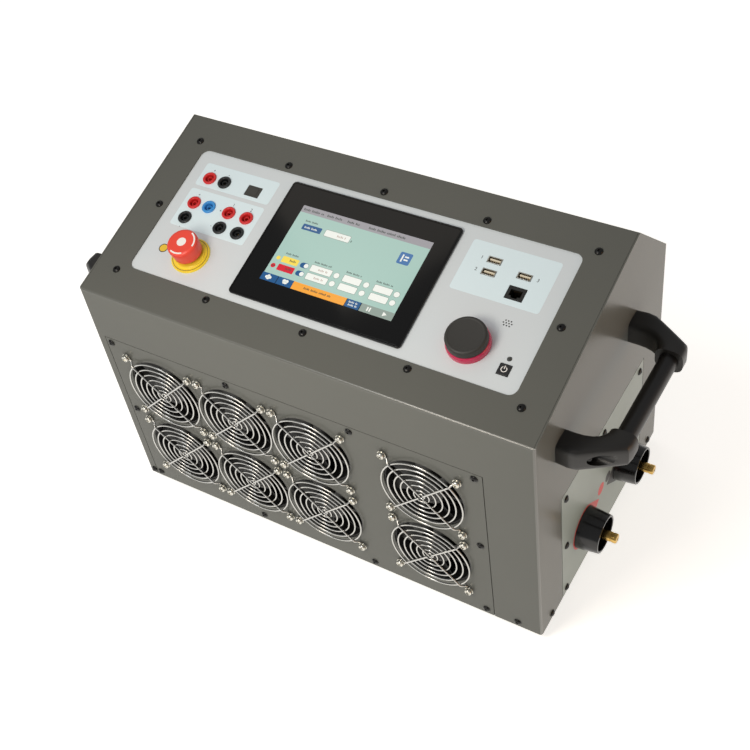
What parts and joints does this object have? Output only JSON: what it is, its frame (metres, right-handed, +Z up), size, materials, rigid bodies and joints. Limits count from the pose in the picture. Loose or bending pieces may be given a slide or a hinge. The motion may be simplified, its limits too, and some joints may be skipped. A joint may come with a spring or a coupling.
{
  "type": "battery load tester",
  "caption": "Portable battery discharge load unit: dark sheet-metal case with fan wall, sloped touch-screen panel, emergency stop, knob, test sockets, pin connectors and side handles.",
  "frame": {"origin": "centre of the bounding box at the underside of the feet", "axes": "+X to the right seen from the fan wall, +Y from the fan wall to the back, +Z up"},
  "size_m": [0.6444, 0.3142, 0.3755],
  "materials": {
    "case_paint": "semi-gloss graphite paint",
    "panel_paint": "matt light grey paint",
    "connector_paint": "matt pale grey paint",
    "black_screw": "black oxide",
    "nickel": "bright nickel",
    "rubber": "matt",
    "fan_plastic": "matt",
    "rotor_plastic": "matt",
    "handle_plastic": "satin",
    "handle_tube": "satin black coat",
    "bezel_plastic": "gloss",
    "screen_glass": "gloss",
    "display": "matt",
    "stop_yellow": "satin",
    "stop_red": "satin",
    "plunger_red": "matt",
    "block_grey": "matt",
    "knob_plastic": "soft matt",
    "knob_ring": "translucent gloss",
    "shaft_metal": "turned",
    "button_plastic": "matt",
    "light_lens": "gloss lens",
    "socket_red": "satin",
    "socket_black": "satin",
    "socket_blue": "satin",
    "brass": "turned",
    "jack_plastic": "matt",
    "port_metal": "plated",
    "shroud_plastic": "satin",
    "copper": "plain copper",
    "element_steel": "heat-dulled",
    "zinc_steel": "zinc plated",
    "supply_case": "folded",
    "board": "solder mask",
    "inlet_plastic": "matt",
    "rocker_plastic": "satin"
  },
  "bodies": {
    "case": {"base_tray": "case_paint", "case_cover": "case_paint", "top_frame": "case_paint", "rear_panel": "case_paint", "fan_plate": "case_paint", "control_panel": "panel_paint", "connector_panel": "connector_paint", "case_screws": "black_screw", "guard_screws": "nickel", "handle_screws": "black_screw", "feet": "rubber", "fan_frames": "fan_plastic", "handle_tube_right": "handle_tube", "handle_tube_left": "handle_tube", "handle_legs_right": "handle_plastic", "handle_legs_left": "handle_plastic", "screen_bezel": "bezel_plastic", "touch_glass": "screen_glass", "display_module": "display", "stop_legend": "stop_yellow", "stop_block": "block_grey", "knob_ring": "knob_ring", "encoder_body": "shaft_metal", "status_light": "light_lens", "sockets_red": "socket_red", "sockets_black": "socket_black", "socket_blue": "socket_blue", "socket_contacts": "brass", "network_jacks": "jack_plastic", "data_ports": "port_metal", "connector_shrouds": "shroud_plastic", "connector_pins": "brass", "bus_bars": "copper", "resistor_bank": "element_steel", "shelf": "zinc_steel", "power_supply": "supply_case", "control_board": "board", "mains_inlet": "inlet_plastic", "fan_guard_1": "nickel", "fan_guard_2": "nickel", "fan_guard_3": "nickel", "fan_guard_4": "nickel", "fan_guard_5": "nickel", "fan_guard_6": "nickel", "fan_guard_7": "nickel", "fan_guard_8": "nickel"},
    "rotor_1": {"fan_rotor_1": "rotor_plastic"},
    "rotor_2": {"fan_rotor_2": "rotor_plastic"},
    "rotor_3": {"fan_rotor_3": "rotor_plastic"},
    "rotor_4": {"fan_rotor_4": "rotor_plastic"},
    "rotor_5": {"fan_rotor_5": "rotor_plastic"},
    "rotor_6": {"fan_rotor_6": "rotor_plastic"},
    "rotor_7": {"fan_rotor_7": "rotor_plastic"},
    "rotor_8": {"fan_rotor_8": "rotor_plastic"},
    "knob": {"knob_cap": "knob_plastic", "encoder_shaft": "shaft_metal"},
    "stop_plunger": {"stop_plunger": "plunger_red"},
    "stop_head": {"stop_head": "stop_red"},
    "power_button": {"power_button": "button_plastic"},
    "rocker": {"mains_rocker": "rocker_plastic"}
  },
  "joints": [
    {"name": "fan_1_spin", "type": "hinge", "parent": "case", "child": "rotor_1", "pos_m": [-0.1825, -0.13642, 0.184], "axis": [0, -1, 0], "continuous": true},
    {"name": "fan_2_spin", "type": "hinge", "parent": "case", "child": "rotor_2", "pos_m": [-0.088, -0.13642, 0.184], "axis": [0, -1, 0], "continuous": true},
    {"name": "fan_3_spin", "type": "hinge", "parent": "case", "child": "rotor_3", "pos_m": [0.0065, -0.13642, 0.184], "axis": [0, -1, 0], "continuous": true},
    {"name": "fan_4_spin", "type": "hinge", "parent": "case", "child": "rotor_4", "pos_m": [0.13663, -0.13642, 0.184], "axis": [0, -1, 0], "continuous": true},
    {"name": "fan_5_spin", "type": "hinge", "parent": "case", "child": "rotor_5", "pos_m": [-0.1825, -0.13642, 0.084], "axis": [0, -1, 0], "continuous": true},
    {"name": "fan_6_spin", "type": "hinge", "parent": "case", "child": "rotor_6", "pos_m": [-0.088, -0.13642, 0.084], "axis": [0, -1, 0], "continuous": true},
    {"name": "fan_7_spin", "type": "hinge", "parent": "case", "child": "rotor_7", "pos_m": [0.0065, -0.13642, 0.084], "axis": [0, -1, 0], "continuous": true},
    {"name": "fan_8_spin", "type": "hinge", "parent": "case", "child": "rotor_8", "pos_m": [0.13663, -0.13642, 0.084], "axis": [0, -1, 0], "continuous": true},
    {"name": "knob_turn", "type": "hinge", "parent": "case", "child": "knob", "pos_m": [0.1575, -0.07678, 0.33941], "axis": [0, -0.2642, 0.9645], "continuous": true},
    {"name": "stop_press", "type": "slide", "parent": "case", "child": "stop_plunger", "axis": [0, 0.2642, -0.9645], "range_m": [0, 0.004]},
    {"name": "stop_twist", "type": "hinge", "parent": "stop_plunger", "child": "stop_head", "pos_m": [-0.1613, -0.08314, 0.35011], "axis": [0, 0.2642, -0.9645], "range_deg": [0, 45], "stiffness_Nm_per_rad": 0.02},
    {"name": "power_press", "type": "slide", "parent": "case", "child": "power_button", "axis": [0, 0.2642, -0.9645], "range_m": [0, 0.001], "stiffness_N_per_m": 600},
    {"name": "rocker_tip", "type": "hinge", "parent": "case", "child": "rocker", "pos_m": [-0.1925, 0.15357, 0.27675], "axis": [0, 0, -1], "range_deg": [0, 16]}
  ]
}
